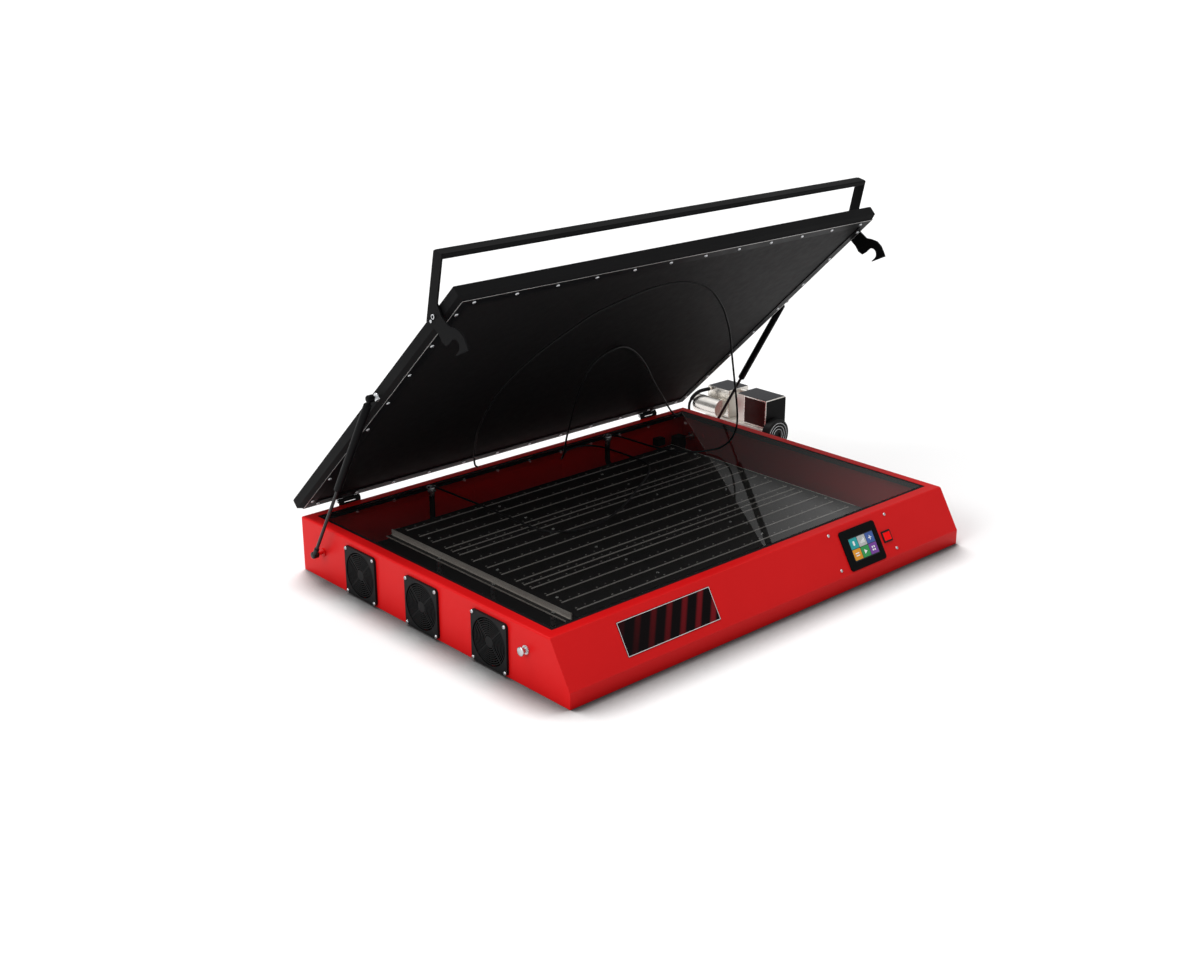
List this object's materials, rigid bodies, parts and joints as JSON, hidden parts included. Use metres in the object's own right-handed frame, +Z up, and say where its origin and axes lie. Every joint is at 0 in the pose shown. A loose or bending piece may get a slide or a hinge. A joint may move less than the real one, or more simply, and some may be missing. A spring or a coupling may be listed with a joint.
{
  "type": "screen printing exposure unit",
  "caption": "Low sheet-metal light table with LEDs under glass, a hinged vacuum lid on gas struts with hook latches, cooling fans, a control panel and a separate vacuum pump.",
  "frame": {"origin": "centre of the cabinet's footprint, on the surface it stands on", "axes": "X to the right along the front, Y to the rear, Z up"},
  "size_m": [1.56, 1.0253, 0.863],
  "materials": {
    "red_powder_coat": "gloss",
    "black_powder_coat": "satin",
    "black_rubber": "satin",
    "clear_glass": "polished",
    "steel": "satin",
    "chromed_steel": "polished",
    "aluminium": "satin",
    "polished_plate": "polished",
    "black_board": "gloss",
    "led_grey": "matte",
    "black_plastic": "matte",
    "printed_panel": "gloss",
    "red_plastic": "gloss"
  },
  "bodies": {
    "base": {"base_shell": "red_powder_coat", "floor_pan": "black_powder_coat", "glass_frame": "black_powder_coat", "glass_seal": "black_rubber", "glass_plate": "clear_glass", "vacuum_ports": "steel", "port_nuts": "steel", "port_hoses": "black_rubber", "hose_manifold": "aluminium", "hose_fitting": "steel", "led_board_rear": "black_board", "led_board_middle": "black_board", "led_board_front": "black_board", "led_strips": "led_grey", "board_screws": "steel", "board_spacers": "steel", "led_rail_left": "aluminium", "led_rail_right": "aluminium", "rail_posts": "steel", "fan_guards": "black_plastic", "guard_screws": "steel", "fan_frames": "black_plastic", "label_plate": "printed_panel", "screen_bezel": "black_plastic", "screen_display": "printed_panel", "panel_screws": "steel", "switch_frame": "black_plastic", "power_inlet": "black_plastic", "catch_pins": "steel", "hinge_base_leaves": "black_powder_coat", "hinge_pins": "steel", "strut_base_studs": "red_powder_coat", "pump_feet": "black_rubber", "pump_motor": "aluminium", "pump_fan_cover": "black_plastic", "pump_heads": "aluminium", "pump_side_panel": "polished_plate", "pump_pipework": "chromed_steel", "pump_hose": "black_rubber", "cord_left": "black_rubber", "cord_right": "black_rubber"},
    "lid": {"lid_shell": "black_powder_coat", "rubber_blanket": "black_rubber", "clamp_frame": "aluminium", "clamp_screws": "steel", "hinge_lid_leaves": "black_powder_coat", "strut_lid_studs": "chromed_steel", "pivot_bolts": "steel"},
    "handle": {"handle_bar": "black_powder_coat", "latch_plate_left": "black_powder_coat", "latch_plate_right": "black_powder_coat", "stop_screws": "steel"},
    "strut_rod_left_body": {"strut_rod_left": "black_powder_coat"},
    "strut_rod_right_body": {"strut_rod_right": "black_powder_coat"},
    "strut_tube_left_body": {"strut_tube_left": "black_powder_coat"},
    "strut_tube_right_body": {"strut_tube_right": "black_powder_coat"},
    "rotor_rear": {"fan_rotor_rear": "black_plastic"},
    "rotor_middle": {"fan_rotor_middle": "black_plastic"},
    "rotor_front": {"fan_rotor_front": "black_plastic"},
    "rocker": {"switch_rocker": "red_plastic"}
  },
  "joints": [
    {"name": "lid_hinge", "type": "hinge", "parent": "base", "child": "lid", "pos_m": [0, 0.4865, 0.143], "axis": [1, 0, 0], "range_deg": [0, 43.75], "stiffness_Nm_per_rad": 40, "springref_deg": -171.89, "deforming": ["cord_left", "cord_right"]},
    {"name": "handle_pivot", "type": "hinge", "parent": "lid", "child": "handle", "pos_m": [0, -0.09264, 0.72759], "axis": [-1, 0, 0], "range_deg": [0, 75]},
    {"name": "strut_left_pivot", "type": "hinge", "parent": "base", "child": "strut_rod_left_body", "pos_m": [-0.666, 0.394, 0.069], "axis": [1, 0, 0], "range_deg": [0, 46.67]},
    {"name": "strut_left_slide", "type": "slide", "parent": "strut_rod_left_body", "child": "strut_tube_left_body", "axis": [0, 0.5129, -0.8585], "range_m": [0, 0.08518]},
    {"name": "strut_right_pivot", "type": "hinge", "parent": "base", "child": "strut_rod_right_body", "pos_m": [0.666, 0.394, 0.069], "axis": [1, 0, 0], "range_deg": [0, 46.67]},
    {"name": "strut_right_slide", "type": "slide", "parent": "strut_rod_right_body", "child": "strut_tube_right_body", "axis": [0, 0.5129, -0.8585], "range_m": [0, 0.08518]},
    {"name": "fan_rear_spin", "type": "hinge", "parent": "base", "child": "rotor_rear", "pos_m": [-0.63, 0.235, 0.062], "axis": [1, 0, 0], "continuous": true},
    {"name": "fan_middle_spin", "type": "hinge", "parent": "base", "child": "rotor_middle", "pos_m": [-0.63, 0.003, 0.062], "axis": [1, 0, 0], "continuous": true},
    {"name": "fan_front_spin", "type": "hinge", "parent": "base", "child": "rotor_front", "pos_m": [-0.63, -0.232, 0.062], "axis": [1, 0, 0], "continuous": true},
    {"name": "power_switch", "type": "hinge", "parent": "base", "child": "rocker", "pos_m": [0.39, -0.45166, 0.07935], "axis": [0, 0.5145, 0.8575], "range_deg": [0, 16]}
  ],
  "couplings": [
    {"joint": "strut_left_pivot", "follows": "lid_hinge", "ratio": 1.0657},
    {"joint": "strut_left_slide", "follows": "lid_hinge", "m_per_rad": 0.11143},
    {"joint": "strut_right_pivot", "follows": "lid_hinge", "ratio": 1.0657},
    {"joint": "strut_right_slide", "follows": "lid_hinge", "m_per_rad": 0.11143}
  ]
}
